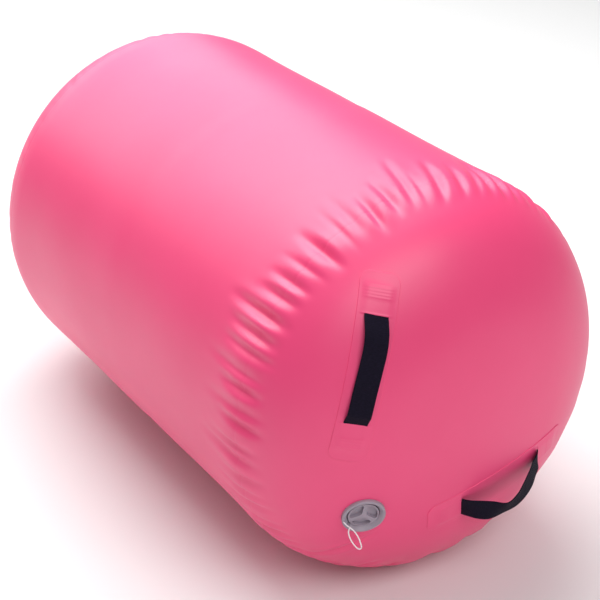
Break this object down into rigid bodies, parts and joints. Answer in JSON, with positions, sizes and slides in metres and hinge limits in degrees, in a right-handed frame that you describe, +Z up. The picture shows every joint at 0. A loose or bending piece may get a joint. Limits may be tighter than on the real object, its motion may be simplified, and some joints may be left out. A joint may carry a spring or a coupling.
{
  "type": "inflatable gymnastics roll",
  "caption": "Inflatable cylindrical tumbling roll of coated fabric with domed ends, webbing carry handles and a tethered-cap air valve.",
  "frame": {"origin": "centre of the bounding box's bottom face: on the ground, under the middle of the roll", "axes": "+Z up, +Y along the roll's axis from the valve end to the plain end, +X to the right seen from the valve end"},
  "size_m": [0.5999, 1.0776, 0.599],
  "materials": {
    "coated_fabric": "satin PVC coating",
    "handle_patch": "satin PVC coating",
    "seam_tape": "satin PVC coating, inside",
    "webbing": "flat woven polyester webbing",
    "valve_plastic": "fine satin moulding",
    "inner_plastic": "fine satin moulding",
    "tether_plastic": "satin moulding",
    "tether_cord": "soft satin plastic",
    "valve_rubber": "moulded",
    "spring_steel": "drawn wire"
  },
  "bodies": {
    "root": {"valve_end_panel": "coated_fabric", "plain_end_panel": "coated_fabric", "barrel_wall": "coated_fabric", "valve_end_seam_tape": "seam_tape", "plain_end_seam_tape": "seam_tape", "lengthwise_seam_tape": "seam_tape", "valve_doubler": "seam_tape", "valve_body": "valve_plastic", "clamp_gasket": "valve_rubber", "clamp_nut": "inner_plastic", "valve_spring": "spring_steel", "valve_end_taut_handle_patch": "handle_patch", "valve_end_taut_handle_strap_ends": "webbing", "valve_end_slack_handle_patch": "handle_patch", "valve_end_slack_handle_strap_ends": "webbing", "plain_end_taut_handle_patch": "handle_patch", "plain_end_taut_handle_strap_ends": "webbing", "plain_end_slack_handle_patch": "handle_patch", "plain_end_slack_handle_strap_ends": "webbing"},
    "valve_end_taut_handle": {"valve_end_taut_handle_strap": "webbing"},
    "valve_end_slack_handle": {"valve_end_slack_handle_strap": "webbing"},
    "plain_end_taut_handle": {"plain_end_taut_handle_strap": "webbing"},
    "plain_end_slack_handle": {"plain_end_slack_handle_strap": "webbing"},
    "cap_leash": {"tether_ring": "tether_plastic", "cap_gasket": "valve_rubber", "tether_cord": "tether_cord"},
    "cap": {"valve_cap": "valve_plastic"},
    "seal": {"seal_plate": "inner_plastic", "seal_ring": "valve_rubber"},
    "stem": {"valve_stem": "inner_plastic", "stem_nut": "inner_plastic"}
  },
  "joints": [
    {"name": "valve_end_taut_handle_lift", "type": "slide", "parent": "root", "child": "valve_end_taut_handle", "axis": [-0.376, -0.8793, 0.2924], "range_m": [0, 0.012], "stiffness_N_per_m": 40, "springref_m": -0.002},
    {"name": "valve_end_slack_handle_swing", "type": "hinge", "parent": "root", "child": "valve_end_slack_handle", "pos_m": [0.0463, -0.4971, 0.1858], "axis": [0.981, 0.0356, 0.1907], "range_deg": [-30, 20]},
    {"name": "plain_end_taut_handle_lift", "type": "slide", "parent": "root", "child": "plain_end_taut_handle", "axis": [0.376, 0.8793, 0.2924], "range_m": [0, 0.012], "stiffness_N_per_m": 40, "springref_m": -0.002},
    {"name": "plain_end_slack_handle_swing", "type": "hinge", "parent": "root", "child": "plain_end_slack_handle", "pos_m": [-0.0463, 0.4971, 0.1858], "axis": [-0.981, -0.0356, 0.1907], "range_deg": [-30, 20]},
    {"name": "cap_lift", "type": "slide", "parent": "root", "child": "cap_leash", "axis": [-0.3797, -0.9023, -0.204], "range_m": [0, 0.06]},
    {"name": "cap_turn", "type": "hinge", "parent": "cap_leash", "child": "cap", "pos_m": [-0.1742, -0.47742, 0.2054], "axis": [-0.3797, -0.9023, -0.204], "range_deg": [0, 90]},
    {"name": "stem_push", "type": "slide", "parent": "root", "child": "seal", "axis": [-0.3797, -0.9023, -0.204], "range_m": [-0.006, 0], "stiffness_N_per_m": 250, "springref_m": 0.006, "deforming": ["valve_spring"]},
    {"name": "stem_turn", "type": "hinge", "parent": "seal", "child": "stem", "pos_m": [-0.1742, -0.47742, 0.2054], "axis": [-0.3797, -0.9023, -0.204], "range_deg": [0, 90]}
  ]
}
